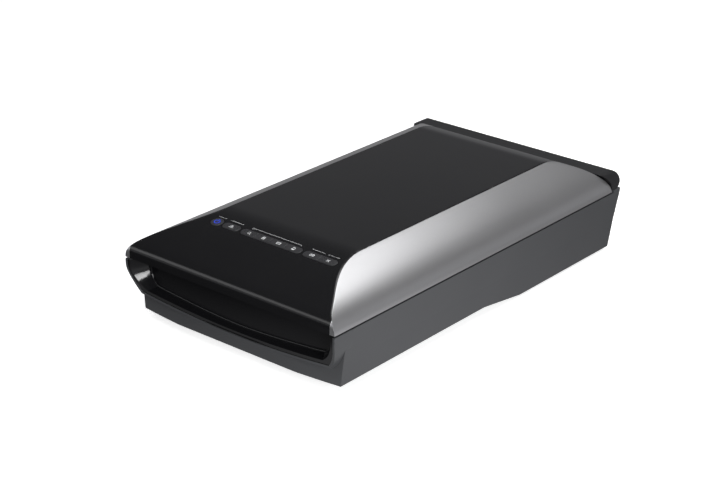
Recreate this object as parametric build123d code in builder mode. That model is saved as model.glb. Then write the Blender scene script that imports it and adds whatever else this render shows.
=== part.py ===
from build123d import *
from math import cos, radians, sin
import os

# A4 film-capable flatbed scanner. Millimetres, +Z up, origin at the middle of the footprint on the
# surface it stands on, front towards -Y, right-hand side towards +X.

# ---- driving dimensions -------------------------------------------------------------------------
BODY_WIDTH = 270.0
BODY_DEPTH = 480.0
LID_TOP_Z = 111.0
LID_BOTTOM_Z = 73.0
BASE_TOP_Z = 71.0
BELLY_FRONT_Z = 12.5
BELLY_REAR_Z = 3.5
HALF_WIDTH = BODY_WIDTH / 2
FRONT_Y = -BODY_DEPTH / 2
REAR_Y = BODY_DEPTH / 2

WALL = 2.5                 # base mouldings
LID_WALL = 2.2             # lid mouldings
BELLY_FRONT_Y = -230.5     # the belly stands back from the front lip
BELLY_CORNER_Y = -221.0    # its front is bowed, and this far back at the sides
CAVITY_FRONT_Y = -213.0
RAMP_START_Y, RAMP_END_Y = 3.0, 68.0
TRAY_THICKNESS = 2.0
DECK_RISE = 3.0            # raised rear corners of the base beside the hinge cover
DECK_FRONT_Y = 227.5       # the raised corners start here
DECK_CORNER_X = 126.0      # and run from here out to the sides
DECK_START_Y = 224.4       # the flat deck starts here, behind the platen frame
REACH_X, REACH_Y = 140.0, 250.0    # cutting boxes reach past the body to here

PLATEAU_HALF = 83.2        # half width of the lid's flat top
PANEL_HALF = 84.0          # half width of the black panel, which laps just over that edge
FLAT_FRONT_Y, FLAT_REAR_Y = -140.0, 166.0
LID_REAR_Y = 223.5
CHIN_Z = 79.0              # the lid's front face is upright below here
CHIN_END = (-229.0, 92.0)  # (y, z) where the tight chin curve meets the long rise
WALL_FACETS = 8            # facets of each curve on the inside of the lid
SKIRT_Z = 60.0             # the lid's outlines are drawn down to here, then cut at its lower edge

HINGE_Y, HINGE_Z = 230.0, 83.0
HINGE_X = 92.0
PIN_RADIUS = 2.0
COVER_TOP_Z = 93.0
COVER_ROUND = 4.0
COVER_REVEAL = 0.9         # dark line between the lid and its hinge cover
COVER_BACK = 8.5           # rear of the cover behind the hinge axis
POST_WIDTH, POST_THICK = 24.0, 7.0
POST_FOOT_Z = 24.0
SOCKET_WALL = 1.5
SOCKET_GAP = 0.4
SOCKET_WIDTH = POST_WIDTH + 2 * (SOCKET_WALL + SOCKET_GAP)
SOCKET_DEPTH = POST_THICK + 2 * (SOCKET_WALL + SOCKET_GAP)

GLASS_WIDTH, GLASS_LENGTH, GLASS_THICK = 228.0, 310.0, 3.0
WINDOW_WIDTH, WINDOW_LENGTH = 217.0, 299.0
GLASS_Y = -22.0
FRAME_THICK = 4.0
FRAME_LIP = 0.8

CARRIAGE_HOME_Y = -172.0
CARRIAGE_LENGTH = 46.0
CARRIAGE_LEFT, CARRIAGE_RIGHT = -98.0, 117.0
CARRIAGE_FLOOR_Z, CARRIAGE_TOP_Z = 32.0, 63.0
ROD_X, ROD_Z, ROD_RADIUS = -86.0, 23.5, 4.0
ROD_FRONT_Y, ROD_REAR_Y = -206.0, 166.0
ROD_CLEARANCE = 0.05

BELT_X, BELT_Z, BELT_HEIGHT, BELT_THICK = -108.0, 30.0, 5.0, 1.2
PULLEY_RADIUS = 6.0
BELT_GAP = 0.3
PULLEY_FRONT_Y, PULLEY_REAR_Y = -204.0, 172.0

BUTTON_Y = -176.5
BUTTON_Z = 107.75
BUTTON_TILT = radians(9.7)
BUTTON_DEPTH = 9.4
BUTTON_ROUND = 4.0
BUTTON_PROUD = 0.5
BUTTON_STEM = 6.0
BUTTON_GAP = 0.35
POWER_X, POWER_RADIUS = -70.0, 6.6
BUTTON_PLANE = Plane(
    origin=(0, BUTTON_Y, BUTTON_Z), x_dir=(1, 0, 0), z_dir=(0, -sin(BUTTON_TILT), cos(BUTTON_TILT))
)


def finish(builder, name):
    builder.part.label = name
    export_step(builder.part, "parts/" + name + ".step")


def box_between(low, high, mode=Mode.ADD):
    size = [b - a for a, b in zip(low, high)]
    with Locations(tuple((a + b) / 2 for a, b in zip(low, high))):
        Box(*size, mode=mode)


# ---- shared outlines ----------------------------------------------------------------------------
def wall_line(curves, inset):
    """Draw curves that run end to end, or their faceted line shifted to the right; gives the two ends."""
    if inset == 0:
        for curve in curves:
            add(curve)
        return curves[0] @ 0, curves[-1] @ 1
    points = []
    for curve in curves:
        for step in range(1 if points else 0, WALL_FACETS + 1):
            along = curve.tangent_at(step / WALL_FACETS)
            shifted = curve.position_at(step / WALL_FACETS) + Vector(along.Y, -along.X) * inset
            points.append((shifted.X, min(shifted.Y, LID_TOP_Z - inset)))
    Polyline(*points)
    return points[0], points[-1]


def lid_profile(inset):
    """Side view of the lid: a tight chin, a long rise, a flat top, and a curve down at the rear."""
    with BuildSketch(Plane.YZ) as profile:
        with BuildLine():
            chin = Bezier(
                (FRONT_Y, CHIN_Z), (FRONT_Y, 86), (-233.8, 90), CHIN_END, mode=Mode.PRIVATE
            )
            rise = Bezier(CHIN_END, (-183.8, LID_TOP_Z), (FLAT_FRONT_Y, LID_TOP_Z), mode=Mode.PRIVATE)
            fall = Spline(
                (FLAT_REAR_Y, LID_TOP_Z), (188, 105.2), (207, 96.5), (219, 86), (LID_REAR_Y, LID_BOTTOM_Z),
                tangents=((1, -0.12), (0.12, -1)), mode=Mode.PRIVATE,
            )
            front_low, front_high = wall_line([chin, rise], inset)
            rear_high, rear_low = wall_line([fall], inset)
            Line(front_high, rear_high)
            Polyline(
                rear_low, (LID_REAR_Y - inset, SKIRT_Z), (FRONT_Y + inset, SKIRT_Z), front_low
            )
        make_face()
    return profile.sketch


def lid_section(inset):
    """Front view of the lid: flat top, long slopes to both sides, a round shoulder to the edge."""
    with BuildSketch(Plane.XZ) as section:
        with BuildLine() as outline:
            slope = Spline(
                (PLATEAU_HALF, LID_TOP_Z), (100, 103.7), (116, 96.0), (128.5, 88),
                (HALF_WIDTH, LID_BOTTOM_Z),
                tangents=((1, -0.43), (0.05, -1)), mode=Mode.PRIVATE,
            )
            high, low = wall_line([slope], inset)
            Line((0, LID_TOP_Z - inset), high)
            Polyline(low, (HALF_WIDTH - inset, SKIRT_Z), (0, SKIRT_Z))
            mirror(outline.line, about=Plane.YZ)
        make_face()
    return section.sketch


def lid_mound(inset):
    """The lid's solid form, drawn in by inset and cut off flat at its lower edge."""
    with BuildPart() as mound:
        extrude(lid_profile(inset), amount=HALF_WIDTH + 5, both=True)
        extrude(lid_section(inset), amount=BODY_DEPTH, both=True, mode=Mode.INTERSECT)
        split(bisect_by=Plane.XY.offset(LID_BOTTOM_Z if inset == 0 else SKIRT_Z + 1), keep=Keep.TOP)
    return mound.part


def lid_shell():
    with BuildPart() as shell:
        add(lid_mound(0))
        add(lid_mound(LID_WALL), mode=Mode.SUBTRACT)
    return shell.part


def top_panel_plan():
    """Plan of the black panel: parallel behind, flaring out to the front corners."""
    with BuildSketch(Plane.XY.offset(60)) as plan:
        with BuildLine() as outline:
            Polyline((0, REAR_Y), (PANEL_HALF, REAR_Y), (PANEL_HALF, FLAT_FRONT_Y))
            Spline(
                (PANEL_HALF, FLAT_FRONT_Y), (89.2, -166.8), (99.7, -191.3), (115.5, -218.5),
                (129.2, FRONT_Y - 1),
                tangents=((0, -1), (0.5, -1)),
            )
            Line((129.2, FRONT_Y - 1), (0, FRONT_Y - 1))
            mirror(outline.line, about=Plane.YZ)
        make_face()
    return plan.sketch


def mouth_outline(y, grow=0.0, raise_floor=0.0):
    """Front view, at a depth y, of the grip recess: leaning sides and a smiling lower edge, open above."""
    top, corner_z, middle_z = BASE_TOP_Z + 6, 35.5 + raise_floor - grow, 27.5 + raise_floor - grow
    with BuildSketch(Plane.XZ.offset(-y)) as mouth:
        with BuildLine():
            Polyline(
                (132.6 + grow, BASE_TOP_Z), (132.6 + grow, top),
                (-132.6 - grow, top), (-132.6 - grow, BASE_TOP_Z),
            )
            ThreePointArc((-132.6 - grow, BASE_TOP_Z), (-130.2 - grow, 52), (-121 - grow, corner_z))
            ThreePointArc((-121 - grow, corner_z), (0, middle_z), (121 + grow, corner_z))
            ThreePointArc((121 + grow, corner_z), (130.2 + grow, 52), (132.6 + grow, BASE_TOP_Z))
        make_face()
    return mouth.sketch


def lip_profile(inset=0.0):
    """Side view of the front lip: upright at the top, leaning back towards its lower edge."""
    front = FRONT_Y + inset
    with BuildSketch(Plane.YZ) as profile:
        with BuildLine():
            Line((front, BASE_TOP_Z), (front, 66))
            Spline(
                (front, 66), (front + 2.5, 54), (front + 9, 34), (front + 12, 22),
                tangents=((0, -1), (0.2, -1)),
            )
            Polyline(
                (front + 12, 22), (CAVITY_FRONT_Y, 22), (CAVITY_FRONT_Y, BASE_TOP_Z), (front, BASE_TOP_Z)
            )
        make_face()
    return profile.sketch


def base_profile(inset=0.0):
    """Side view of the base behind the lip: deeper at the rear, with a ramp between the levels."""
    front = BELLY_FRONT_Y if inset == 0 else CAVITY_FRONT_Y
    top = BASE_TOP_Z + (DECK_RISE if inset == 0 else 10)
    with BuildSketch(Plane.YZ) as profile:
        with BuildLine():
            Polyline(
                (front, top),
                (front, 30),
                (front + (3 if inset == 0 else 0), BELLY_FRONT_Z + inset),
                (RAMP_START_Y, BELLY_FRONT_Z + inset),
                (RAMP_END_Y, BELLY_REAR_Z + inset),
                (REAR_Y - 4.2 - inset, BELLY_REAR_Z + inset),
                (REAR_Y - inset, BASE_TOP_Z - 4),
                (REAR_Y - inset, top),
                close=True,
            )
        make_face()
    return profile.sketch


def base_section(inset=0.0):
    """Front view of the base: upper band leaning in to a crease, then the narrower belly."""
    right_half = [
        (HALF_WIDTH - inset, BASE_TOP_Z + 10),
        (HALF_WIDTH - inset, BASE_TOP_Z),
        (HALF_WIDTH - 4.6 - inset, 37),
        (HALF_WIDTH - 8 - inset, BELLY_REAR_Z + inset),
    ]
    with BuildSketch(Plane.XZ) as section:
        with BuildLine():
            Polyline(*right_half, *[(-x, z) for x, z in reversed(right_half)], close=True)
        make_face()
    return section.sketch


def bowed_plan():
    """Plan of the base: square behind, with a gently bowed front."""
    side = HALF_WIDTH + 1
    with BuildSketch(Plane.XY) as plan:
        with BuildLine():
            ThreePointArc((-side, BELLY_CORNER_Y), (0, BELLY_FRONT_Y), (side, BELLY_CORNER_Y))
            Polyline((side, BELLY_CORNER_Y), (side, REAR_Y), (-side, REAR_Y), (-side, BELLY_CORNER_Y))
        make_face()
    return plan.sketch


def base_form(inset=0.0):
    with BuildPart() as form:
        extrude(base_profile(inset), amount=HALF_WIDTH, both=True)
        extrude(base_section(inset), amount=BODY_DEPTH, both=True, mode=Mode.INTERSECT)
        if inset == 0:
            extrude(bowed_plan(), amount=BODY_DEPTH, mode=Mode.INTERSECT)
    return form.part


# ---- base ---------------------------------------------------------------------------------------
USB_X, DC_X, PORT_Z = 40.0, 66.0, 22.0
USB_SIZE, DC_RADIUS = (12.0, 11.0), 4.0
LOCK_X, LOCK_Y = 70.0, -120.0
LOCK_SLOT = (9.0, 22.0)
FRONT_FOOT = (98.0, -190.0)
REAR_FOOT = (104.0, 208.0)
CASE_SCREW_SPOTS = [(-104, -165), (104, -165), (-112, 90), (112, 90), (-88, 205), (112, 175)]
SCREW_HOLE_RADIUS, SCREW_HEAD_RADIUS = 1.7, 3.4


def base_floor(y):
    """Height of the belly's underside at a depth y."""
    if y <= RAMP_START_Y:
        return BELLY_FRONT_Z
    if y >= RAMP_END_Y:
        return BELLY_REAR_Z
    return BELLY_FRONT_Z + (y - RAMP_START_Y) / (RAMP_END_Y - RAMP_START_Y) * (BELLY_REAR_Z - BELLY_FRONT_Z)


def make_base_shell():
    with BuildPart() as shell:
        extrude(lip_profile(), amount=HALF_WIDTH, both=True)
        extrude(mouth_outline(0, grow=2.4), amount=BODY_DEPTH, both=True, mode=Mode.INTERSECT)
        add(base_form())
        box_between((-REACH_X, -REACH_Y, BASE_TOP_Z), (REACH_X, REACH_Y, 100), Mode.SUBTRACT)
        add(base_form(WALL), mode=Mode.SUBTRACT)
        extrude(mouth_outline(CAVITY_FRONT_Y - 3.5), amount=40, mode=Mode.SUBTRACT)
        # Rear deck, with the two hinge openings.
        box_between((-132, DECK_START_Y, BASE_TOP_Z - WALL), (132, 238, BASE_TOP_Z))
        for side in (-1, 1):
            box_between(
                (side * HINGE_X - SOCKET_WIDTH / 2, HINGE_Y - SOCKET_DEPTH / 2, 60),
                (side * HINGE_X + SOCKET_WIDTH / 2, HINGE_Y + SOCKET_DEPTH / 2, 80),
                Mode.SUBTRACT,
            )
        # Connector openings in the rear wall.
        box_between(
            (USB_X - USB_SIZE[0] / 2 - 0.4, 230, PORT_Z - USB_SIZE[1] / 2 - 0.4),
            (USB_X + USB_SIZE[0] / 2 + 0.4, 245, PORT_Z + USB_SIZE[1] / 2 + 0.4),
            Mode.SUBTRACT,
        )
        with Locations(Location((DC_X, 238, PORT_Z), (90, 0, 0))):
            Cylinder(DC_RADIUS + 0.6, 14, mode=Mode.SUBTRACT)
        # Slot for the transport lock.
        box_between(
            (LOCK_X - LOCK_SLOT[0] / 2, LOCK_Y - LOCK_SLOT[1] / 2, 5),
            (LOCK_X + LOCK_SLOT[0] / 2, LOCK_Y + LOCK_SLOT[1] / 2, BELLY_FRONT_Z + WALL + 1),
            Mode.SUBTRACT,
        )
        # Screw bosses rise from the floor to the platen frame.
        for x, y in CASE_SCREW_SPOTS:
            floor = base_floor(y)
            with Locations((x, y, (floor + 8 + floor + 1) / 2)):
                Cylinder(5.2, 7)
            with Locations((x, y, floor + 3)):
                Cylinder(SCREW_HOLE_RADIUS, 14, mode=Mode.SUBTRACT)
            with Locations((x, y, floor + 1.1)):
                Cylinder(SCREW_HEAD_RADIUS, 2.2, mode=Mode.SUBTRACT)
    finish(shell, "base_shell")

    # Raised corners of the deck at the hinge cover's ends.
    with BuildPart() as corners:
        add(base_form())
        box_between((-REACH_X, -REACH_Y, 0), (REACH_X, REACH_Y, BASE_TOP_Z), Mode.SUBTRACT)
        box_between((-REACH_X, -REACH_Y, 60), (REACH_X, DECK_FRONT_Y, 90), Mode.SUBTRACT)
        box_between((-DECK_CORNER_X, -REACH_Y, 60), (DECK_CORNER_X, REACH_Y, 90), Mode.SUBTRACT)
    finish(corners, "deck_corners")


def make_front_grip_panel():
    """Glossy scoop behind the lid's front edge, where the fingers go."""
    with BuildPart() as panel:
        extrude(mouth_outline(CAVITY_FRONT_Y - 3.5), amount=40)
        extrude(lip_profile(inset=0.6), amount=HALF_WIDTH, both=True, mode=Mode.INTERSECT)
        box_between((-REACH_X, -REACH_Y, BASE_TOP_Z - 0.6), (REACH_X, -200, 90), Mode.SUBTRACT)
        mouths = [mouth_outline(FRONT_Y - 6, grow=0.6), mouth_outline(-221, grow=-13, raise_floor=-6)]
        loft([mouth.faces()[0] for mouth in mouths], mode=Mode.SUBTRACT, ruled=True)
    finish(panel, "front_grip_panel")


def make_platen():
    with BuildPart() as frame:
        extrude(base_section(WALL + 0.15), amount=BODY_DEPTH, both=True)
        box_between(
            (-REACH_X, CAVITY_FRONT_Y + 0.15, BASE_TOP_Z - FRAME_THICK),
            (REACH_X, DECK_START_Y - 0.2, BASE_TOP_Z),
            Mode.INTERSECT,
        )
        glass_low = BASE_TOP_Z - FRAME_THICK
        box_between(
            (-GLASS_WIDTH / 2 - 0.3, GLASS_Y - GLASS_LENGTH / 2 - 0.3, glass_low - 1),
            (GLASS_WIDTH / 2 + 0.3, GLASS_Y + GLASS_LENGTH / 2 + 0.3, BASE_TOP_Z - FRAME_LIP),
            Mode.SUBTRACT,
        )
        with BuildSketch(Plane.XY.offset(BASE_TOP_Z - 5)):
            with Locations((0, GLASS_Y)):
                RectangleRounded(WINDOW_WIDTH, WINDOW_LENGTH, 4)
        extrude(amount=10, mode=Mode.SUBTRACT)
    finish(frame, "platen_frame")

    with BuildPart() as glass:
        with BuildSketch(Plane.XY.offset(BASE_TOP_Z - FRAME_LIP - GLASS_THICK)):
            with Locations((0, GLASS_Y)):
                RectangleRounded(GLASS_WIDTH, GLASS_LENGTH, 2)
        extrude(amount=GLASS_THICK)
    finish(glass, "platen_glass")

    strip_z = BASE_TOP_Z - FRAME_LIP - GLASS_THICK
    with BuildPart() as strip:
        front = GLASS_Y - WINDOW_LENGTH / 2 - 4.5
        box_between((-108, front, strip_z - 0.4), (108, front + 8, strip_z))
    finish(strip, "calibration_strip")


def make_feet_and_screws():
    with BuildPart() as feet:
        for side in (-1, 1):
            with BuildSketch(Plane.XY):
                with Locations((side * FRONT_FOOT[0], FRONT_FOOT[1]), (side * REAR_FOOT[0], REAR_FOOT[1])):
                    Circle(7.5)
            extrude(amount=BELLY_REAR_Z)
            with BuildSketch(Plane.XY.offset(BELLY_REAR_Z)):
                with Locations((side * FRONT_FOOT[0], FRONT_FOOT[1])):
                    Circle(7.5)
            extrude(amount=BELLY_FRONT_Z - BELLY_REAR_Z, taper=-12)
    finish(feet, "feet")

    with BuildPart() as screws:
        for x, y in CASE_SCREW_SPOTS:
            floor = base_floor(y)
            with Locations((x, y, floor + 1.4)):
                Cylinder(SCREW_HEAD_RADIUS - 0.3, 1.6)
            with Locations((x, y, floor + 5)):
                Cylinder(SCREW_HOLE_RADIUS - 0.15, 8)
    finish(screws, "case_screws")


def make_lock_switch():
    """Transport lock in the underside: a ribbed slider with a retaining plate inside the case."""
    with BuildPart() as lock:
        floor_top = BELLY_FRONT_Z + WALL
        front = LOCK_Y - LOCK_SLOT[1] / 2 + 0.5
        box_between((LOCK_X - 4, front, BELLY_FRONT_Z - 1), (LOCK_X + 4, front + 12, floor_top + 0.3))
        box_between((LOCK_X - 8, front - 3, floor_top + 0.3), (LOCK_X + 8, front + 15, floor_top + 2.3))
        for rib in range(4):
            y = front + 2.2 + rib * 2.5
            box_between(
                (LOCK_X - 3.4, y - 0.5, BELLY_FRONT_Z - 1.8), (LOCK_X + 3.4, y + 0.5, BELLY_FRONT_Z - 1)
            )
    finish(lock, "lock_switch")


# ---- scanning carriage and its drive ------------------------------------------------------------
def make_guides():
    with BuildPart() as rod:
        with Locations(Location((ROD_X, (ROD_FRONT_Y + ROD_REAR_Y) / 2, ROD_Z), (90, 0, 0))):
            Cylinder(ROD_RADIUS, ROD_REAR_Y - ROD_FRONT_Y)
    finish(rod, "guide_rod")

    with BuildPart() as brackets:
        for y, length in ((ROD_FRONT_Y + 3, 6), (ROD_REAR_Y - 3, 6)):
            box_between(
                (ROD_X - 8, y - length / 2, base_floor(y) + WALL), (ROD_X + 8, y + length / 2, ROD_Z + 7)
            )
            with Locations(Location((ROD_X, y, ROD_Z), (90, 0, 0))):
                Cylinder(ROD_RADIUS, length + 2, mode=Mode.SUBTRACT)
    finish(brackets, "rod_brackets")

    with BuildPart() as rail:
        box_between((106, ROD_FRONT_Y, 28), (123, ROD_REAR_Y, 29.5))
        for y in (-200, -60, 40):
            box_between((112, y, BELLY_FRONT_Z + WALL), (118, y + 6, 28))
        box_between((112, 158, BELLY_REAR_Z + WALL), (118, 164, 28))
    finish(rail, "glide_rail")


def make_carriage():
    front = CARRIAGE_HOME_Y - CARRIAGE_LENGTH / 2
    rear = CARRIAGE_HOME_Y + CARRIAGE_LENGTH / 2
    with BuildPart() as housing:
        box_between((CARRIAGE_LEFT, front, CARRIAGE_FLOOR_Z), (CARRIAGE_RIGHT, rear, CARRIAGE_TOP_Z))
        box_between(
            (CARRIAGE_LEFT + 2, front + 2, CARRIAGE_FLOOR_Z + 2),
            (CARRIAGE_RIGHT - 2, rear - 2, CARRIAGE_TOP_Z - 2),
            Mode.SUBTRACT,
        )
        # Slit through which the page is lit and seen, flanked by the light bar's channel.
        box_between((-106, front + 12, 50), (106, front + 26, CARRIAGE_TOP_Z + 1), Mode.SUBTRACT)
        fillet(housing.edges().filter_by(Axis.Z).group_by(Axis.X)[0], 1.5)
    finish(housing, "carriage_housing")

    with BuildPart() as bushes:
        for y in (front + 6, rear - 6):
            with Locations(Location((ROD_X, y, ROD_Z), (90, 0, 0))):
                Cylinder(ROD_RADIUS + 3.2, 10)
            box_between((ROD_X - 5, y - 5, ROD_Z), (ROD_X + 5, y + 5, CARRIAGE_FLOOR_Z))
        with Locations(Location((ROD_X, CARRIAGE_HOME_Y, ROD_Z), (90, 0, 0))):
            Cylinder(ROD_RADIUS + ROD_CLEARANCE, CARRIAGE_LENGTH + 10, mode=Mode.SUBTRACT)
    finish(bushes, "rod_bushes")

    with BuildPart() as pad:
        box_between((108, front + 8, 29.8), (114, rear - 8, CARRIAGE_FLOOR_Z))
    finish(pad, "glide_pad")

    with BuildPart() as lamp:
        with BuildSketch(Plane.YZ.offset(-104)):
            with BuildLine():
                Polyline(
                    (front + 12.6, 60), (front + 16.6, 62.4), (front + 16.6, 57), (front + 12.6, 55), close=True
                )
            make_face()
        extrude(amount=208)
    finish(lamp, "light_bar")

    with BuildPart() as mirrors:
        for y, z, tilt in ((front + 19, 40, 45), (front + 39.5, 46.4, -40), (front + 6.6, 47, 55)):
            with Locations(Location((4, y, z), (tilt, 0, 0))):
                Box(188, 1.2, 8)
    finish(mirrors, "mirrors")

    with BuildPart() as lens:
        with Locations(Location((0, front + 30.5, 39.5), (90, 0, 0))):
            Cylinder(4.6, 9)
            Cylinder(3.2, 13)
    finish(lens, "lens_barrel")

    with BuildPart() as sensor:
        box_between((-45, rear - 6.5, CARRIAGE_FLOOR_Z + 2), (45, rear - 5, 42.5))
        box_between((-30, rear - 7.8, 35.5), (30, rear - 6.5, 40.5))
    finish(sensor, "sensor_board")

    with BuildPart() as clamp:
        inner_run = BELT_X + PULLEY_RADIUS + BELT_GAP + BELT_THICK
        middle = CARRIAGE_HOME_Y
        box_between((inner_run + 0.3, middle - 7, BELT_Z - 4), (CARRIAGE_LEFT, middle + 7, 44))
        box_between((BELT_X - 2, middle - 7, BELT_Z + 3.4), (inner_run + 0.3, middle + 7, BELT_Z + 7))
    finish(clamp, "belt_clamp")


def make_drive():
    inner = PULLEY_RADIUS + BELT_GAP
    with BuildPart() as belt:
        with BuildSketch(Plane.XY.offset(BELT_Z - BELT_HEIGHT / 2)):
            with Locations((BELT_X, (PULLEY_FRONT_Y + PULLEY_REAR_Y) / 2)):
                reach = PULLEY_REAR_Y - PULLEY_FRONT_Y
                SlotCenterToCenter(reach, 2 * (inner + BELT_THICK), rotation=90)
                SlotCenterToCenter(reach, 2 * inner, rotation=90, mode=Mode.SUBTRACT)
        extrude(amount=BELT_HEIGHT)
    finish(belt, "drive_belt")

    for name, y, low, high in (
        ("drive_pulley", PULLEY_REAR_Y, BELT_Z - 8, BELT_Z + 4),
        ("idler_pulley", PULLEY_FRONT_Y, BELT_Z - 4, BELT_Z + 4),
    ):
        with BuildPart() as pulley:
            with Locations((BELT_X, y, BELT_Z)):
                Cylinder(PULLEY_RADIUS, BELT_HEIGHT + 0.6)
            with Locations((BELT_X, y, BELT_Z + 3.4), (BELT_X, y, BELT_Z - 3.4)):
                Cylinder(PULLEY_RADIUS + 1.2, 1.2)
            if name == "drive_pulley":
                # The motor's output shaft, turning with the pulley pressed on it.
                with Locations((BELT_X, y, (low - 4 + high) / 2)):
                    Cylinder(2.5, high - low + 4)
                with Locations((BELT_X, y, high + 0.4)):
                    Box(3, 8, 0.8)
            else:
                with Locations((BELT_X, y, BELT_Z)):
                    Cylinder(1.55, 20, mode=Mode.SUBTRACT)
                with Locations((BELT_X + 3.8, y, BELT_Z), (BELT_X - 3.8, y, BELT_Z)):
                    Cylinder(1, 20, mode=Mode.SUBTRACT)
        finish(pulley, name)

    motor_top = BELT_Z - 8.6
    with BuildPart() as motor:
        with Locations((BELT_X, PULLEY_REAR_Y, (BELLY_REAR_Z + WALL + 0.4 + motor_top) / 2)):
            Cylinder(14, motor_top - BELLY_REAR_Z - WALL - 0.4)
        with Locations((BELT_X, PULLEY_REAR_Y, motor_top)):
            Cylinder(2.56, 16, mode=Mode.SUBTRACT)
    finish(motor, "stepper_motor")

    with BuildPart() as bracket:
        with BuildSketch(Plane.XY.offset(motor_top)):
            with Locations((BELT_X, PULLEY_REAR_Y)):
                RectangleRounded(26, 44, 4)
                Circle(4, mode=Mode.SUBTRACT)
        extrude(amount=1.5)
        for y in (PULLEY_REAR_Y - 20, PULLEY_REAR_Y + 17):
            box_between((BELT_X - 5, y, BELLY_REAR_Z + WALL), (BELT_X + 5, y + 3, motor_top))
    finish(bracket, "motor_bracket")

    with BuildPart() as idler:
        box_between(
            (BELT_X - 6, PULLEY_FRONT_Y - 7, BELLY_FRONT_Z + WALL), (BELT_X + 6, PULLEY_FRONT_Y + 9, 18)
        )
        with Locations((BELT_X, PULLEY_FRONT_Y, 26)):
            Cylinder(1.5, 16)
        with Locations((BELT_X, PULLEY_FRONT_Y, 21)):
            Cylinder(3, 8)
    finish(idler, "idler_bracket")

    with BuildPart() as spring:
        turns, pitch, radius, wire = 6, 2.0, 2.6, 0.4
        start = PULLEY_FRONT_Y + 10
        with BuildLine() as coil:
            Helix(pitch, turns * pitch, radius, center=(BELT_X, start, 19.2), direction=(0, 1, 0))
        with BuildSketch(Plane(origin=coil.line @ 0, z_dir=coil.line % 0)):
            Circle(wire)
        sweep(path=coil.line, is_frenet=True)
    finish(spring, "tension_spring")


# ---- electronics --------------------------------------------------------------------------------
BOARD_Z = 14.9
BOARD_LOW, BOARD_HIGH = (-62.0, 176.0), (94.0, 224.0)
BOARD_SCREWS = [(-57, 181), (89, 181), (-57, 219), (30, 219)]


def make_electronics():
    with BuildPart() as board:
        box_between((*BOARD_LOW, BOARD_Z), (*BOARD_HIGH, BOARD_Z + 1.6))
        for x, y, w, d, h in (
            (-30, 200, 22, 22, 2.4), (4, 196, 14, 14, 1.8), (26, 204, 10, 16, 2),
            (-54, 206, 8, 14, 7), (70, 190, 9, 9, 10), (48, 190, 8, 8, 8), (-8, 216, 24, 6, 5),
        ):
            box_between(
                (x - w / 2, y - d / 2, BOARD_Z + 1.6), (x + w / 2, y + d / 2, BOARD_Z + 1.6 + h)
            )
        for x, y in BOARD_SCREWS:
            with Locations((x, y, BOARD_Z)):
                Cylinder(1.8, 8, mode=Mode.SUBTRACT)
    finish(board, "main_board")

    with BuildPart() as screws:
        for x, y in BOARD_SCREWS:
            with Locations((x, y, BOARD_Z + 2.6)):
                Cylinder(3, 2)
            with Locations((x, y, (BELLY_REAR_Z + WALL + BOARD_Z + 2) / 2)):
                Cylinder(1.5, BOARD_Z + 2 - BELLY_REAR_Z - WALL)
    finish(screws, "board_screws")

    with BuildPart() as usb:
        low = (USB_X - USB_SIZE[0] / 2, 221, PORT_Z - USB_SIZE[1] / 2)
        high = (USB_X + USB_SIZE[0] / 2, 237.2, PORT_Z + USB_SIZE[1] / 2)
        box_between((low[0], low[1], BOARD_Z + 1.6), high)
        box_between((low[0] + 1.6, 226, low[2] + 1.6), (high[0] - 1.6, 240, high[2] - 1.6), Mode.SUBTRACT)
        box_between((USB_X - 2.8, 225, PORT_Z - 1.6), (USB_X + 2.8, 236, PORT_Z + 1.6))
    finish(usb, "usb_port")

    with BuildPart() as jack:
        box_between((DC_X - 5, 218, BOARD_Z + 1.6), (DC_X + 5, 231, PORT_Z + 5.5))
        with Locations(Location((DC_X, 233.6, PORT_Z), (90, 0, 0))):
            Cylinder(DC_RADIUS, 7.2)
        with Locations(Location((DC_X, 232, PORT_Z), (90, 0, 0))):
            Cylinder(2.8, 14, mode=Mode.SUBTRACT)
        with Locations(Location((DC_X, 230, PORT_Z), (90, 0, 0))):
            Cylinder(1, 12)
    finish(jack, "dc_jack")

    with BuildPart() as flex:
        # Flat lead folded along the floor from the board towards the carriage's mid travel.
        box_between((6, -20, BELLY_FRONT_Z + WALL), (30, RAMP_START_Y, BELLY_FRONT_Z + WALL + 0.4))
        with BuildSketch(Plane.YZ.offset(6)):
            with BuildLine():
                low_front, low_rear = BELLY_FRONT_Z + WALL, BELLY_REAR_Z + WALL
                Polyline(
                    (RAMP_START_Y, low_front), (RAMP_END_Y, low_rear), (172, low_rear),
                    (172, low_rear + 0.4), (RAMP_END_Y, low_rear + 0.4), (RAMP_START_Y, low_front + 0.4),
                    close=True,
                )
            make_face()
        extrude(amount=24)
    finish(flex, "flex_lead")


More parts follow.
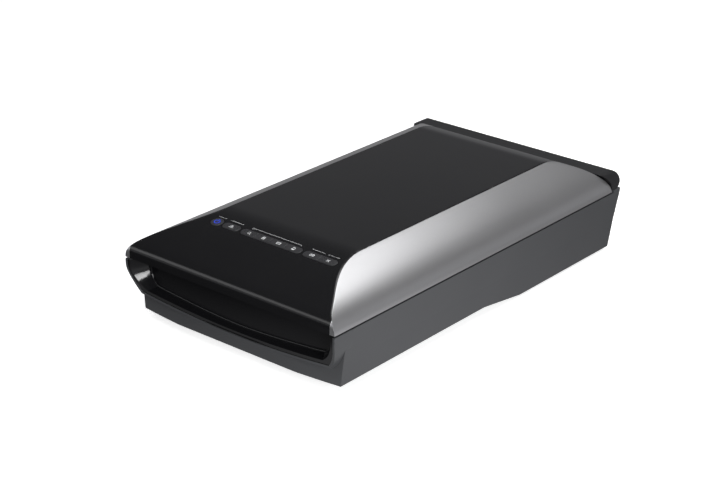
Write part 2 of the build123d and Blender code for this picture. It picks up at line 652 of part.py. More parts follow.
# ---- hinge --------------------------------------------------------------------------------------
def make_hinge():
    with BuildPart() as sockets:
        for side in (-1, 1):
            x = side * HINGE_X
            box_between(
                (x - SOCKET_WIDTH / 2, HINGE_Y - SOCKET_DEPTH / 2, BELLY_REAR_Z + WALL),
                (x + SOCKET_WIDTH / 2, HINGE_Y + SOCKET_DEPTH / 2, BASE_TOP_Z),
            )
            box_between(
                (x - POST_WIDTH / 2 - SOCKET_GAP, HINGE_Y - POST_THICK / 2 - SOCKET_GAP, POST_FOOT_Z - 1),
                (x + POST_WIDTH / 2 + SOCKET_GAP, HINGE_Y + POST_THICK / 2 + SOCKET_GAP, 90),
                Mode.SUBTRACT,
            )
        # The sloping rear wall of the case stays clear of the sockets.
        extrude(base_profile(WALL + 0.2), amount=HALF_WIDTH, both=True, mode=Mode.INTERSECT)
    finish(sockets, "hinge_sockets")

    with BuildPart() as posts:
        for side in (-1, 1):
            x = side * HINGE_X
            box_between(
                (x - POST_WIDTH / 2, HINGE_Y - POST_THICK / 2, POST_FOOT_Z),
                (x + POST_WIDTH / 2, HINGE_Y + POST_THICK / 2, HINGE_Z),
            )
            with Locations(Location((x, HINGE_Y, HINGE_Z), (0, 90, 0))):
                Cylinder(5.2, POST_WIDTH)
        with Locations(Location((0, HINGE_Y, HINGE_Z), (0, 90, 0))):
            Cylinder(PIN_RADIUS, BODY_WIDTH, mode=Mode.SUBTRACT)
    finish(posts, "hinge_posts")

    with BuildPart() as pins:
        for side in (-1, 1):
            with Locations(Location((side * HINGE_X, HINGE_Y, HINGE_Z), (0, 90, 0))):
                Cylinder(PIN_RADIUS, POST_WIDTH + 14)
    finish(pins, "hinge_pins")


def cover_profile():
    """Side view of the hinge cover: its lower rear is round about the hinge axis, so it turns
    over the base's rear edge, and its front follows the lid's rear curve."""
    rear = HINGE_Y + COVER_BACK
    with BuildSketch(Plane.YZ) as profile:
        with BuildLine():
            Line((205, COVER_TOP_Z), (rear - COVER_ROUND, COVER_TOP_Z))
            CenterArc((rear - COVER_ROUND, COVER_TOP_Z - COVER_ROUND), COVER_ROUND, 90, -90)
            Line((rear, COVER_TOP_Z - COVER_ROUND), (rear, HINGE_Z))
            CenterArc((HINGE_Y, HINGE_Z), COVER_BACK, 0, -90)
            Polyline(
                (HINGE_Y, HINGE_Z - COVER_BACK), (205, HINGE_Z - COVER_BACK), (205, COVER_TOP_Z)
            )
        make_face()
    return profile.sketch


def make_hinge_cover():
    with BuildPart() as cover:
        extrude(cover_profile(), amount=HALF_WIDTH, both=True)
        extrude(lid_profile(-COVER_REVEAL), amount=HALF_WIDTH + 5, both=True, mode=Mode.SUBTRACT)
        # Both ends are rounded in the front view.
        with BuildSketch(Plane.XZ):
            with Locations((0, COVER_TOP_Z - 30)):
                RectangleRounded(BODY_WIDTH, 60, 12)
        extrude(amount=BODY_DEPTH, both=True, mode=Mode.INTERSECT)
        for side in (-1, 1):
            x = side * HINGE_X
            # Slot in which the post stands, and swings out through the rear as the lid opens.
            box_between(
                (x - POST_WIDTH / 2 - 0.5, HINGE_Y - 6, 70), (x + POST_WIDTH / 2 + 0.5, 250, HINGE_Z + 6),
                Mode.SUBTRACT,
            )
            with Locations(Location((x, HINGE_Y, HINGE_Z), (0, 90, 0))):
                Cylinder(PIN_RADIUS + 0.05, POST_WIDTH + 14.6, mode=Mode.SUBTRACT)
    finish(cover, "hinge_cover")


# ---- lid ----------------------------------------------------------------------------------------
SINGLE_KEY = (-61.0, -40.5)
GROUP_OF_FOUR = (-37.0, 39.5)
GROUP_OF_TWO = (43.0, 83.0)
KEY_SPLIT = 0.6
KEY_GROUPS = [
    (SINGLE_KEY, ["auto_scan_button"]),
    (GROUP_OF_FOUR, ["preview_button", "copy_button", "mail_button", "save_button"]),
    (GROUP_OF_TWO, ["film_button", "cancel_button"]),
]


def key_bar(low, high, grow=0.0):
    with Locations(((low + high) / 2, 0)):
        RectangleRounded(high - low + 2 * grow, BUTTON_DEPTH + 2 * grow, BUTTON_ROUND + grow)


def make_lid_top():
    with BuildPart() as top:
        add(lid_shell())
        extrude(top_panel_plan(), amount=60, mode=Mode.INTERSECT)
        with BuildSketch(BUTTON_PLANE):
            for (low, high), _ in KEY_GROUPS:
                key_bar(low, high, BUTTON_GAP)
            with Locations((POWER_X, 0)):
                Circle(POWER_RADIUS + BUTTON_GAP)
        extrude(amount=12, both=True, mode=Mode.SUBTRACT)
    finish(top, "lid_top")


def make_lid_sides():
    for name, keep in (("lid_side_left", Keep.BOTTOM), ("lid_side_right", Keep.TOP)):
        with BuildPart() as side:
            add(lid_shell())
            extrude(top_panel_plan(), amount=60, mode=Mode.SUBTRACT)
            split(bisect_by=Plane.YZ, keep=keep)
        finish(side, name)


TRAY_TOP_Z = LID_BOTTOM_Z + TRAY_THICKNESS
TRAY_FLANGE = 2.0
MAT_WIDTH, MAT_LENGTH = 232.0, 316.0
FILM_WINDOW = (72.0, 232.0)
FILM_Y = -22.0
BUMPER_SPOTS = [(-124, -200), (124, -200), (-124, 190), (124, 190)]
LID_SCREW_SPOTS = [(-122, -160), (122, -160), (-122, 20), (122, 20), (-122, 150), (122, 150)]


def make_lid_tray():
    """Light grey underside of the lid, with a shallow bed for the mat and the film window."""
    with BuildPart() as tray:
        side, front, rear = HALF_WIDTH - 3.7, FRONT_Y + 3.2, LID_REAR_Y - 4.4
        box_between((-side, front, LID_BOTTOM_Z), (side, rear, TRAY_TOP_Z + TRAY_FLANGE))
        box_between(
            (-side + 1.8, front + 1.8, TRAY_TOP_Z), (side - 1.8, rear - 1.8, TRAY_TOP_Z + TRAY_FLANGE),
            Mode.SUBTRACT,
        )
        box_between(
            (-MAT_WIDTH / 2 - 1, GLASS_Y - MAT_LENGTH / 2 - 1, 60),
            (MAT_WIDTH / 2 + 1, GLASS_Y + MAT_LENGTH / 2 + 1, LID_BOTTOM_Z + 0.8),
            Mode.SUBTRACT,
        )
        box_between(
            (-FILM_WINDOW[0] / 2, FILM_Y - FILM_WINDOW[1] / 2, 60),
            (FILM_WINDOW[0] / 2, FILM_Y + FILM_WINDOW[1] / 2, 90),
            Mode.SUBTRACT,
        )
        for x, y in LID_SCREW_SPOTS:
            with Locations((x, y, LID_BOTTOM_Z)):
                Cylinder(1.6, 12, mode=Mode.SUBTRACT)
    finish(tray, "lid_tray")

    mat_low, foam_low = BASE_TOP_Z + 0.35, LID_BOTTOM_Z - 0.6
    with BuildPart() as mat:
        with BuildSketch(Plane.XY.offset(mat_low)):
            with Locations((0, GLASS_Y)):
                RectangleRounded(MAT_WIDTH, MAT_LENGTH, 5)
        extrude(amount=foam_low - mat_low)
    finish(mat, "document_mat")

    with BuildPart() as foam:
        with BuildSketch(Plane.XY.offset(foam_low)):
            with Locations((0, GLASS_Y)):
                RectangleRounded(MAT_WIDTH - 6, MAT_LENGTH - 6, 3)
        extrude(amount=LID_BOTTOM_Z + 0.8 - foam_low)
    finish(foam, "mat_foam")

    with BuildPart() as bumpers:
        for x, y in BUMPER_SPOTS:
            with Locations((x, y, (BASE_TOP_Z + 0.35 + LID_BOTTOM_Z) / 2)):
                Cylinder(4, LID_BOTTOM_Z - BASE_TOP_Z - 0.35)
    finish(bumpers, "lid_bumpers")

    with BuildPart() as screws:
        for x, y in LID_SCREW_SPOTS:
            with Locations((x, y, LID_BOTTOM_Z - 0.5)):
                Cylinder(2.9, 1)
            with Locations((x, y, LID_BOTTOM_Z + 2)):
                Cylinder(1.45, 5)
    finish(screws, "lid_screws")


def make_film_unit():
    half_x, half_y = FILM_WINDOW[0] / 2 + 6, FILM_WINDOW[1] / 2 + 6
    with BuildPart() as housing:
        box_between((-half_x, FILM_Y - half_y, TRAY_TOP_Z), (half_x, FILM_Y + half_y, TRAY_TOP_Z + 15))
        box_between(
            (-half_x + 2, FILM_Y - half_y + 2, TRAY_TOP_Z - 1),
            (half_x - 2, FILM_Y + half_y - 2, TRAY_TOP_Z + 13),
            Mode.SUBTRACT,
        )
    finish(housing, "film_lamp_housing")

    with BuildPart() as diffuser:
        box_between(
            (-half_x + 2.2, FILM_Y - half_y + 2.2, TRAY_TOP_Z),
            (half_x - 2.2, FILM_Y + half_y - 2.2, TRAY_TOP_Z + 3),
        )
    finish(diffuser, "film_diffuser")

    with BuildPart() as bars:
        for side in (-1, 1):
            x = side * (half_x - 5)
            box_between(
                (x - 1.5, FILM_Y - half_y + 6, TRAY_TOP_Z + 4), (x + 1.5, FILM_Y + half_y - 6, TRAY_TOP_Z + 9)
            )
    finish(bars, "film_led_bars")

    with BuildPart() as board:
        box_between((-28, FILM_Y + half_y + 4, TRAY_TOP_Z + 3), (28, FILM_Y + half_y + 34, TRAY_TOP_Z + 4.6))
        box_between((-16, FILM_Y + half_y + 9, TRAY_TOP_Z + 4.6), (2, FILM_Y + half_y + 25, TRAY_TOP_Z + 11))
        for x in (-24, 24):
            with Locations((x, FILM_Y + half_y + 19, TRAY_TOP_Z + 1.5)):
                Cylinder(3, 3)
    finish(board, "film_lamp_board")


def make_buttons():
    for (low, high), names in KEY_GROUPS:
        step = (high - low) / len(names)
        for index, name in enumerate(names):
            left, right = low + index * step, low + (index + 1) * step
            left += KEY_SPLIT / 2 if index else 0
            right -= KEY_SPLIT / 2 if index < len(names) - 1 else 0
            with BuildPart() as key:
                with BuildSketch(BUTTON_PLANE.offset(-BUTTON_STEM)):
                    key_bar(low, high)
                    with Locations(((left + right) / 2, 0)):
                        Rectangle(right - left, BUTTON_DEPTH, mode=Mode.INTERSECT)
                extrude(amount=BUTTON_STEM + BUTTON_PROUD)
                fillet(key.faces().sort_by(Axis.Z)[-1].edges(), 0.3)
            finish(key, name)

    with BuildPart() as power:
        with BuildSketch(BUTTON_PLANE.offset(-BUTTON_STEM)):
            with Locations((POWER_X, 0)):
                Circle(POWER_RADIUS)
        extrude(amount=BUTTON_STEM + BUTTON_PROUD)
        fillet(power.faces().sort_by(Axis.Z)[-1].edges(), 0.4)
    finish(power, "power_button")

    with BuildPart() as board:
        with BuildSketch(BUTTON_PLANE.offset(-BUTTON_STEM - 3.6)):
            with Locations((3, -1)):
                RectangleRounded(172, 20, 2)
        extrude(amount=1.6)
        with BuildSketch(BUTTON_PLANE.offset(-BUTTON_STEM - 2)):
            with Locations(*[(x, 0) for x in (POWER_X, -50.75, -27.4, -8.3, 10.8, 29.9, 53, 73)]):
                Circle(1.8)
        extrude(amount=0.9)
    finish(board, "button_board")


def main():
    os.makedirs("parts", exist_ok=True)
    make_base_shell()
    make_front_grip_panel()
    make_platen()
    make_feet_and_screws()
    make_lock_switch()
    make_guides()
    make_carriage()
    make_drive()
    make_electronics()
    make_hinge()
    make_hinge_cover()
    make_lid_top()
    make_lid_sides()
    make_lid_tray()
    make_film_unit()
    make_buttons()


main()
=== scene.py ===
# %% [markdown]
# # A flatbed scanner, finished in Blender
# The drive, the glass and the hinge come from a CAD model that is already the right size. This lesson gives that
# model its looks: smooth outer mouldings, finishes with their own grain, and a soft studio.
# Everything is in metres. X runs to the right, Y from the front grip to the hinge, and Z up.

# %% Load the CAD model
import math
import bmesh
import bpy
import numpy as np
from mathutils import Matrix, Vector


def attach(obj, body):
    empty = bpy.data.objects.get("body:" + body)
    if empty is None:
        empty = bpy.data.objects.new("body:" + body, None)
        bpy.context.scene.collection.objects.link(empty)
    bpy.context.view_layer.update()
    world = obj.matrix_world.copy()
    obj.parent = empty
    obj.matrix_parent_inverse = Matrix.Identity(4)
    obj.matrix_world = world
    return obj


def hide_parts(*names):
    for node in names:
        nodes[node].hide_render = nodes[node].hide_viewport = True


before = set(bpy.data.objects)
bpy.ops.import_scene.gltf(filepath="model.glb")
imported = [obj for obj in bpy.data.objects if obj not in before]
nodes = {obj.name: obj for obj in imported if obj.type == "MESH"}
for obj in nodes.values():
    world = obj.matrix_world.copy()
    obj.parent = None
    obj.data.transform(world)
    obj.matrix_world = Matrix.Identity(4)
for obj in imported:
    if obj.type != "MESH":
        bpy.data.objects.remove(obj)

MM = 0.001
SHARP = math.radians(38)
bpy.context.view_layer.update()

# %% [markdown]
# ## The camera
# The viewer stands in front and to the right, a little above the lid, with a long lens, so the sides hardly
# converge. The matrix is built from its three axes, because that also carries the small tilt of the horizon.

# %% Place the camera
AZIMUTH, ELEVATION, ROLL = map(math.radians, (39.18, 23.48, 0.88))
STANDPOINT = (1.0753, -1.35966, 0.80343)
FOCAL_LENGTH = 90.79


def camera_matrix(azimuth, elevation, roll, place):
    """Columns are right, up and back. Back points from the object to the viewer; roll turns right and up about it."""
    flat = math.cos(elevation)
    back = Vector((math.sin(azimuth) * flat, -math.cos(azimuth) * flat, math.sin(elevation)))
    level = Vector((math.cos(azimuth), math.sin(azimuth), 0))
    upright = back.cross(level)
    right = math.cos(roll) * level + math.sin(roll) * upright
    up = math.cos(roll) * upright - math.sin(roll) * level
    matrix = Matrix((right, up, back)).transposed().to_4x4()
    matrix.translation = place
    return matrix


lens = bpy.data.cameras.new("viewer")
lens.sensor_width, lens.lens = 36, FOCAL_LENGTH
lens.clip_end = 50
camera = bpy.data.objects.new("viewer", lens)
bpy.context.scene.collection.objects.link(camera)
camera.matrix_world = camera_matrix(AZIMUTH, ELEVATION, ROLL, Vector(STANDPOINT))
bpy.context.scene.camera = camera
print("camera at", [round(v, 3) for v in camera.location])

# %% [markdown]
# ## A small language for materials
# A material is a graph of nodes, and sums are easier to read as sums. `Value` wraps one output socket, so that
# `grain * 0.2 + 0.4` adds its own Math nodes. `Finish` holds one material and adds any other node by its type.

# %% Sockets as numbers


class Value:
    """One output socket. Plus, minus and times build Math nodes, with a number on either side."""

    def __init__(self, finish, socket):
        self.finish, self.socket = finish, socket

    def sum(self, operation, *inputs):
        return self.finish.node("ShaderNodeMath", {"operation": operation}, dict(enumerate(inputs)))

    def __add__(self, other):
        return self.sum("ADD", self, other)

    def __sub__(self, other):
        return self.sum("SUBTRACT", self, other)

    def __rsub__(self, other):
        return self.sum("SUBTRACT", other, self)

    def __mul__(self, other):
        return self.sum("MULTIPLY", self, other)

    __radd__, __rmul__ = __add__, __mul__


class Finish:
    """A material with one Principled shader; put() sets its sockets, node() adds anything else."""

    def __init__(self, name, **sockets):
        self.material = bpy.data.materials.new(name)
        self.material.use_nodes = True
        self.nodes, self.links = self.material.node_tree.nodes, self.material.node_tree.links
        self.shader = next(n for n in self.nodes if n.type == "BSDF_PRINCIPLED")
        self.place = self.node("ShaderNodeTexCoord", {}, {}, "Object")
        self.put(**sockets)

    def join(self, socket, value):
        if isinstance(value, Value):
            self.links.new(value.socket, socket)
        else:
            socket.default_value = value

    def put(self, **sockets):
        for name, value in sockets.items():
            self.join(self.shader.inputs[name.replace("_", " ")], value)
        return self

    def node(self, kind, settings, sockets, output=0):
        made = self.nodes.new(kind)
        for name, value in settings.items():
            if name == "stops":
                ramp = made.color_ramp.elements
                while len(ramp) < len(value):
                    ramp.new(0.5)
                for stop, (position, shade) in zip(ramp, value):
                    stop.position, stop.color = position, (shade, shade, shade, 1)
            else:
                setattr(made, name, value)
        for name, value in sockets.items():
            self.join(made.inputs[name], value)
        return Value(self, made.outputs[output])

    def grain(self, scale, detail=2.0, stretch=None):
        """Cloudy noise in the piece's own space; scale is how many lumps fit in a metre."""
        where = self.place
        if stretch:
            where = self.node("ShaderNodeMapping", {}, {"Vector": where, "Scale": stretch})
        return self.node("ShaderNodeTexNoise", {}, {"Vector": where, "Scale": scale, "Detail": detail})

    def bump(self, height, depth, strength=1.0):
        return self.node("ShaderNodeBump", {}, {"Height": height, "Distance": depth, "Strength": strength})

    def tint(self, mask, low, high):
        """Blend from the colour low to the colour high as the mask goes from 0 to 1."""
        return self.node("ShaderNodeMix", {"data_type": "RGBA"}, {0: mask, 6: (*low, 1), 7: (*high, 1)}, 2)


print("material helpers ready")

# %% [markdown]
# ## Plastics
# A textured moulding takes its grain from the mould: a fine pebble that breaks up the highlight, and slow
# changes of tone from handling. Noise at two sizes gives both, and only the roughness, colour and bump follow it.

# %% Plastic finishes


def plastic(name, dark, light, rough, pebble, depth, gloss=0.5, coat=0.0):
    """Moulded plastic: pebble is the grain per metre, depth its height in metres."""
    made = Finish(name, Specular_IOR_Level=gloss, Coat_Weight=coat, Coat_Roughness=0.06)
    cloud, fine = made.grain(14, 3), made.grain(pebble, 2)
    made.put(Base_Color=made.tint(cloud, dark, light), Roughness=rough + (cloud - 0.5) * 0.05 + (fine - 0.5) * 0.06)
    made.put(Normal=made.bump(fine, depth, 0.6))
    return made.material


gloss_black = plastic("gloss_black", (0.009, 0.009, 0.010), (0.012, 0.012, 0.013), 0.17, 900, 0.000004, 0.42)
grip_gloss = plastic("grip_gloss", (0.006, 0.006, 0.007), (0.009, 0.009, 0.010), 0.12, 700, 0.000003, 0.4)
cover_satin = plastic("cover_satin", (0.012, 0.012, 0.013), (0.017, 0.017, 0.018), 0.36, 1500, 0.000012, 0.45)
base_satin = plastic("base_satin", (0.060, 0.062, 0.066), (0.074, 0.076, 0.080), 0.38, 1700, 0.000018)
tray_matt = plastic("tray_matt", (0.26, 0.26, 0.27), (0.31, 0.31, 0.32), 0.5, 1300, 0.00002)
frame_matt = plastic("frame_matt", (0.022, 0.022, 0.024), (0.030, 0.030, 0.032), 0.5, 1300, 0.00002)
white_matt = plastic("white_matt", (0.74, 0.74, 0.72), (0.82, 0.82, 0.80), 0.45, 900, 0.00001)
carriage_matt = plastic("carriage_matt", (0.025, 0.025, 0.028), (0.035, 0.035, 0.038), 0.55, 1100, 0.00002)
key_satin = plastic("key_satin", (0.034, 0.034, 0.037), (0.044, 0.044, 0.047), 0.28, 1200, 0.000006)
rubber_soft = plastic("rubber_soft", (0.018, 0.018, 0.018), (0.028, 0.028, 0.027), 0.75, 800, 0.00005, 0.3)
foam_cells = plastic("foam_cells", (0.15, 0.15, 0.16), (0.27, 0.27, 0.28), 0.9, 1800, 0.0002, 0.2)
mat_film = plastic("mat_film", (0.80, 0.80, 0.78), (0.86, 0.86, 0.84), 0.6, 1500, 0.00001, 0.3)
opal_panel = plastic("opal_panel", (0.72, 0.75, 0.76), (0.80, 0.82, 0.83), 0.35, 600, 0.000005)
print("plastics made")

# %% [markdown]
# ## Silver paint and metals
# The flanks of the lid carry metallic paint: tiny flakes, each lying at its own angle, under a clear coat. Very
# fine noise in both the tone and the bump gives the flakes, and the coat gives the soft second highlight.

# %% Silver paint and metal finishes


def metal(name, dark, light, rough, flake, depth, metallic=1.0, stretch=None, coat=0.0):
    """Bare or painted metal: flake is the grain per metre, stretched along one axis when it is brushed."""
    made = Finish(name, Metallic=metallic, Coat_Weight=coat, Coat_Roughness=0.12)
    fine, cloud = made.grain(flake, 2, stretch), made.grain(9, 3)
    tone = fine * 0.7 + cloud * 0.3
    made.put(Base_Color=made.tint(tone, dark, light), Roughness=rough + (fine - 0.5) * 0.1 + (cloud - 0.5) * 0.04)
    made.put(Normal=made.bump(fine, depth, 0.5))
    return made.material


silver_paint = metal("silver_paint", (0.40, 0.40, 0.41), (0.58, 0.58, 0.59), 0.33, 4200, 0.000010, 0.85, None, 0.25)
ground_steel = metal("ground_steel", (0.50, 0.50, 0.51), (0.66, 0.66, 0.67), 0.24, 500, 0.000004, 1.0, (1, 0.05, 1))
zinc_plate = metal("zinc_plate", (0.48, 0.49, 0.50), (0.66, 0.66, 0.68), 0.36, 260, 0.000006)
turned_brass = metal("turned_brass", (0.55, 0.40, 0.18), (0.72, 0.54, 0.27), 0.28, 420, 0.000005)
mirror_coat = metal("mirror_coat", (0.88, 0.88, 0.90), (0.92, 0.92, 0.93), 0.03, 50, 0.0000002)
print("silver and metals made")

# %% [markdown]
# ## Glass, boards and the lit key
# The bed is float glass, faintly green. A board is green lacquer over copper tracks, drawn here with a stepped
# checker. The lit key is dark plastic with a blue glow.

# %% Glass, board and flex finishes
glass = Finish("float_glass", Base_Color=(0.86, 0.93, 0.90, 1), Transmission_Weight=1.0, IOR=1.46)
smear = glass.grain(25, 4)
glass.put(Roughness=smear * 0.03 + 0.01)

board = Finish("green_board", Specular_IOR_Level=0.5)
tracks = board.node("ShaderNodeTexBrick", {"offset": 0.37}, {
    "Vector": board.place, "Scale": 60.0, "Mortar Size": 0.035, "Color1": (0, 0, 0, 1), "Color2": (0, 0, 0, 1),
    "Mortar": (1, 1, 1, 1)}, 0)
board.put(Base_Color=board.tint(tracks, (0.008, 0.085, 0.035), (0.03, 0.17, 0.07)), Roughness=0.3 + tracks * 0.15)
board.put(Normal=board.bump(tracks, 0.00004))

flex = Finish("flat_lead", Specular_IOR_Level=0.5)
wires = flex.node("ShaderNodeTexWave", {"bands_direction": "X"}, {"Vector": flex.place, "Scale": 160.0}, 1)
flex.put(Base_Color=flex.tint(wires, (0.55, 0.57, 0.60), (0.80, 0.81, 0.82)), Roughness=0.35 + wires * 0.1)
print("glass, board and flex made")

# %% Printed marks and the blue glow
ink = plastic("white_ink", (0.78, 0.79, 0.80), (0.88, 0.89, 0.90), 0.5, 2000, 0.000004)
glow = Finish("blue_glow", Base_Color=(0.02, 0.06, 0.5, 1), Emission_Strength=0.7)
halo = glow.grain(300, 2)
glow.put(Emission_Color=glow.tint(halo, (0.01, 0.05, 0.75), (0.03, 0.12, 1.0)), Roughness=0.3 + halo * 0.1)
glow_blue = glow.material
print("ink and glow made")

# %% [markdown]
# ## Which node wears which finish
# Every CAD piece keeps its mesh and only swaps the material in its slots.

# %% Dress the CAD nodes
WEAR = {
    base_satin: "base_shell deck_corners", grip_gloss: "front_grip_panel", frame_matt: "platen_frame",
    glass.material: "platen_glass", mat_film: "calibration_strip document_mat",
    rubber_soft: "feet lid_bumpers drive_belt", tray_matt: "lid_tray", foam_cells: "mat_foam",
    white_matt: "glide_pad belt_clamp idler_pulley lock_switch film_lamp_housing",
    opal_panel: "light_bar film_diffuser film_led_bars",
    ground_steel: "guide_rod hinge_pins tension_spring",
    zinc_plate: "glide_rail stepper_motor motor_bracket idler_bracket board_screws usb_port case_screws lid_screws",
    turned_brass: "rod_bushes lens_barrel drive_pulley", mirror_coat: "mirrors",
    board.material: "main_board sensor_board film_lamp_board button_board", flex.material: "flex_lead",
    carriage_matt: "rod_brackets dc_jack hinge_sockets carriage_housing", cover_satin: "hinge_posts hinge_cover",
    gloss_black: "lid_top", silver_paint: "lid_side_left lid_side_right",
    key_satin: "auto_scan_button preview_button copy_button mail_button save_button film_button cancel_button "
               "power_button",
}
dressed = 0
for material, names in WEAR.items():
    for name in names.split():
        for held in nodes[name].material_slots:
            held.material = material
        dressed += 1
print("dressed", dressed, "of", len(nodes), "nodes")

# %% [markdown]
# ## The lid's form
# The lid is where two curved sheets meet. The *profile* is a long curve from front to back, the same at every
# width. The *flank* is a slope from the flat top out to each side, the same at every depth. The lower of the two
# wins, and a smooth minimum rounds the crease between them, as a mould's edge does.

# %% Curves of the lid


def bezier(points, steps):
    """Cubic: a(1-t)^3 + 3b t(1-t)^2 + 3c t^2(1-t) + d t^3 for the points a to d, at even steps of t."""
    a, b, c, d = (np.array(p, float) for p in points)
    t = np.linspace(0, 1, steps + 1)[:, None]
    return a * (1 - t) ** 3 + 3 * b * t * (1 - t) ** 2 + 3 * c * t**2 * (1 - t) + d * t**3


def straight(a, b, steps):
    """Even steps along the line from a to b."""
    t = np.linspace(0, 1, steps + 1)[:, None]
    return np.array(a, float) * (1 - t) + np.array(b, float) * t


def chain(*runs):
    """The runs end to end, each without its first point after the first run."""
    return np.vstack([runs[0]] + [run[1:] for run in runs[1:]])


LID_TOP, LID_LOW, HALF, FRONT, BACK = 111, 73, 135, -240, 223.5
PLATEAU = 83.2
CHIN, CHIN_STEPS = (-229, 92), 6
FLAT_START, FLAT_END = (-140, LID_TOP), (166, LID_TOP)
profile = chain(
    straight((FRONT, LID_LOW), (FRONT, 79), CHIN_STEPS),
    bezier([(FRONT, 79), (FRONT, 86), (-233.8, 90), CHIN], 24),
    bezier([CHIN, (-198.9, 104.67), (-169.2, LID_TOP), FLAT_START], 64),
    straight(FLAT_START, FLAT_END, 60),
    bezier([FLAT_END, (188, 108.4), (BACK - 2.6, LID_LOW + 22), (BACK, LID_LOW)], 56),
)
flank = bezier([(PLATEAU, LID_TOP), (115.2, 97.2), (HALF - 0.8, LID_LOW + 16), (HALF, LID_LOW)], 400)
print("profile points", len(profile), "highest", profile[:, 1].max())


def flank_height(x):
    """Height of the flank at a distance x from the middle: above the top inside it, so the profile wins there."""
    inside = LID_TOP + 3 * (PLATEAU - np.abs(x))
    return np.where(np.abs(x) < PLATEAU, inside, np.interp(np.abs(x), flank[:, 0], flank[:, 1]))


def flank_reach(z):
    """Distance from the middle at which the flank is z high: the flank curve read the other way round."""
    return np.interp(-z, -flank[:, 1], flank[:, 0])


def lower_of(a, b, blend=1.1):
    """Smooth minimum: mix(b, a, h) - blend h (1 - h), where h = 0.5 + (b - a) / (2 blend), kept within 0 and 1."""
    h = np.clip(0.5 + (b - a) / (2 * blend), 0, 1)
    return b * (1 - h) + a * h - blend * h * (1 - h)


# %% [markdown]
# ## Meshes from arrays
# Each skin is a grid of points. One helper turns the grid into quads; another gives the skin its wall with the
# Solidify modifier and applies it, so the piece is a closed solid like the moulding.

# %% Grid helpers
CLOSE, AGREES = 0.03, 0.9


def grid_piece(name, points, material):
    """Quads between neighbours of a rows x columns x 3 grid in millimetres; each faces the way rows x columns turn."""
    rows, columns = points.shape[:2]
    index = np.arange(rows * columns).reshape(rows, columns)
    quads = np.stack([index[:-1, :-1], index[:-1, 1:], index[1:, 1:], index[1:, :-1]], -1).reshape(-1, 4)
    mesh = bpy.data.meshes.new(name)
    mesh.from_pydata(points.reshape(-1, 3) * MM, [], quads.tolist())
    mesh.materials.append(material)
    piece = bpy.data.objects.new(name, mesh)
    bpy.context.scene.collection.objects.link(piece)
    return piece


def weld(piece, reach=0.00002):
    """Merge points nearer than reach, drop the flat faces that leaves, and shade smooth."""
    work = bmesh.new()
    work.from_mesh(piece.data)
    bmesh.ops.remove_doubles(work, verts=work.verts, dist=reach)
    bmesh.ops.dissolve_degenerate(work, edges=work.edges, dist=reach)
    work.to_mesh(piece.data)
    work.free()
    piece.data.shade_smooth()


def apply_modifiers(piece):
    """Replace the mesh by what its modifiers make of it."""
    made = bpy.data.meshes.new_from_object(piece.evaluated_get(bpy.context.evaluated_depsgraph_get()))
    piece.modifiers.clear()
    piece.data = made


def give_wall(piece, wall):
    """A wall inwards from the skin, in millimetres, sharp at its rim."""
    solid = piece.modifiers.new("wall", "SOLIDIFY")
    solid.thickness, solid.offset, solid.use_even_offset = wall * MM, -1, True
    apply_modifiers(piece)
    piece.data.set_sharp_from_angle(angle=SHARP)


def skin_normals(piece, height):
    """Shade from the formula: the normal of z = height(x, y) is (-dz/dx, -dz/dy, 1), kept where the face agrees."""
    mesh = piece.data
    corners = np.empty(len(mesh.loops), np.int32)
    mesh.loops.foreach_get("vertex_index", corners)
    places = np.empty(len(mesh.vertices) * 3, np.float32)
    mesh.vertices.foreach_get("co", places)
    places = places.reshape(-1, 3)[corners] / MM
    faces = np.empty(len(mesh.loops) * 3, np.float32)
    mesh.corner_normals.foreach_get("vector", faces)
    faces = faces.reshape(-1, 3)
    x, y, z = places.T
    step = 0.05
    slope_x = (height(x + step, y) - height(x - step, y)) / (2 * step)
    slope_y = (height(x, y + step) - height(x, y - step)) / (2 * step)
    ideal = np.stack([-slope_x, -slope_y, np.ones_like(x)], -1)
    ideal /= np.linalg.norm(ideal, axis=1, keepdims=True)
    on_skin = (np.abs(height(x, y) - z) < CLOSE) & ((ideal * faces).sum(1) > AGREES)
    mesh.normals_split_custom_set(np.where(on_skin[:, None], ideal, faces).tolist())
    return int(on_skin.sum())


print("mesh helpers ready")

# %% [markdown]
# ## The black panel
# The panel runs from the chin over the top to the rear, 168 mm wide, and flares out at the front along the
# crease. Each row of the grid is one point of the profile, stretched from one edge of the panel to the other.

# %% Make the black panel
SEAM, LID_WALL = 0.12, 2.0
PANEL_HALF, PANEL_FRONT_HALF, LAP = 84.0, 128.9, 0.8
depth, rise = profile[:, 0], profile[:, 1]
crease = np.where(depth < 0, np.clip(flank_reach(rise) + LAP, PANEL_HALF, PANEL_FRONT_HALF), PANEL_HALF)
across = np.sin(np.linspace(-0.5, 0.5, 121) * math.pi)
panel_x = (crease - SEAM)[:, None] * across[None]
panel_y = np.repeat(depth[:, None], panel_x.shape[1], 1)
panel_z = lower_of(np.repeat(rise[:, None], panel_x.shape[1], 1), flank_height(panel_x))
panel = grid_piece("lid_panel", np.stack([panel_x, panel_y, panel_z], -1), gloss_black)
weld(panel)
give_wall(panel, LID_WALL)
print("panel faces", len(panel.data.polygons))

# %% [markdown]
# ## Key openings
# The keys sit in four openings: a round one, a short bar, and two longer bars. Each opening is a cutter, a
# rounded bar pushed through the panel square to the slope, and the Boolean modifier takes it away.

# %% Cut the key openings
SLOPE = math.radians(9.7)
ROW_Y, ROW_Z, KEY_DEPTH, KEY_ROUND, GAP = -176.5, 107.75, 9.4, 4.0, 0.35


